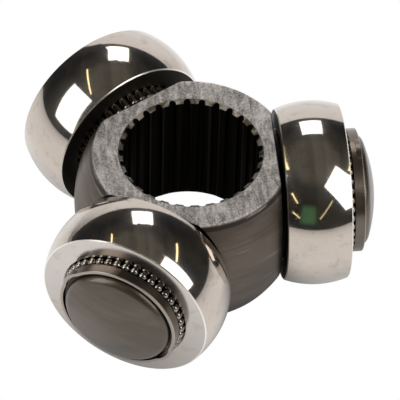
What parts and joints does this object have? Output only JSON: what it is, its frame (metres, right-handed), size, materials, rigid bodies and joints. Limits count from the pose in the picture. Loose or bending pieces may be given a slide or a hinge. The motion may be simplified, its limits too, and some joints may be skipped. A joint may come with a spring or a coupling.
{
  "type": "constant velocity joint tripod",
  "caption": "Tripod for a plunging drive shaft joint: splined hub with trunnions that carry spherical rollers on loose needles.",
  "frame": {"origin": "joint centre, where the trunnion axes cross the spline axis", "axes": "+Z along the spline axis, +X along trunnion 1, trunnions 2 and 3 at 120 and 240 degrees about +Z"},
  "size_m": [0.0743, 0.079, 0.04],
  "materials": {
    "forged_steel": "case-hardened forging: rough end faces, ground trunnions, satin flanks",
    "bearing_steel": "polished bearing steel, mirror crown and ground end faces",
    "needle_steel": "polished bearing steel",
    "ring_steel": "hardened sheet steel, brown-grey",
    "spring_steel": "blackened spring steel"
  },
  "bodies": {
    "spider": {"spider": "forged_steel", "snap_ring_1": "spring_steel", "snap_ring_2": "spring_steel", "snap_ring_3": "spring_steel"},
    "retainer_1": {"ring_1": "ring_steel"},
    "roller_1": {"roller_1": "bearing_steel"},
    "needle_set_1": {"needles_1": "needle_steel"},
    "retainer_2": {"ring_2": "ring_steel"},
    "roller_2": {"roller_2": "bearing_steel"},
    "needle_set_2": {"needles_2": "needle_steel"},
    "retainer_3": {"ring_3": "ring_steel"},
    "roller_3": {"roller_3": "bearing_steel"},
    "needle_set_3": {"needles_3": "needle_steel"}
  },
  "joints": [
    {"name": "roller_1_turn", "type": "hinge", "parent": "spider", "child": "retainer_1", "pos_m": [0, 0, 0], "axis": [1, 0, 0], "continuous": true},
    {"name": "roller_1_plunge", "type": "slide", "parent": "retainer_1", "child": "roller_1", "axis": [1, 0, 0], "range_m": [-0.0008, 0.0036]},
    {"name": "needles_1_orbit", "type": "hinge", "parent": "spider", "child": "needle_set_1", "pos_m": [0, 0, 0], "axis": [1, 0, 0], "continuous": true},
    {"name": "roller_2_turn", "type": "hinge", "parent": "spider", "child": "retainer_2", "pos_m": [0, 0, 0], "axis": [-0.5, 0.866, 0], "continuous": true},
    {"name": "roller_2_plunge", "type": "slide", "parent": "retainer_2", "child": "roller_2", "axis": [-0.5, 0.866, 0], "range_m": [-0.0037, 0.0007]},
    {"name": "needles_2_orbit", "type": "hinge", "parent": "spider", "child": "needle_set_2", "pos_m": [0, 0, 0], "axis": [-0.5, 0.866, 0], "continuous": true},
    {"name": "roller_3_turn", "type": "hinge", "parent": "spider", "child": "retainer_3", "pos_m": [0, 0, 0], "axis": [-0.5, -0.866, 0], "continuous": true},
    {"name": "roller_3_plunge", "type": "slide", "parent": "retainer_3", "child": "roller_3", "axis": [-0.5, -0.866, 0], "range_m": [-0.0007, 0.0037]},
    {"name": "needles_3_orbit", "type": "hinge", "parent": "spider", "child": "needle_set_3", "pos_m": [0, 0, 0], "axis": [-0.5, -0.866, 0], "continuous": true}
  ],
  "couplings": [
    {"joint": "needles_1_orbit", "follows": "roller_1_turn", "ratio": 0.53811},
    {"joint": "needles_2_orbit", "follows": "roller_2_turn", "ratio": 0.53811},
    {"joint": "needles_3_orbit", "follows": "roller_3_turn", "ratio": 0.53811}
  ]
}
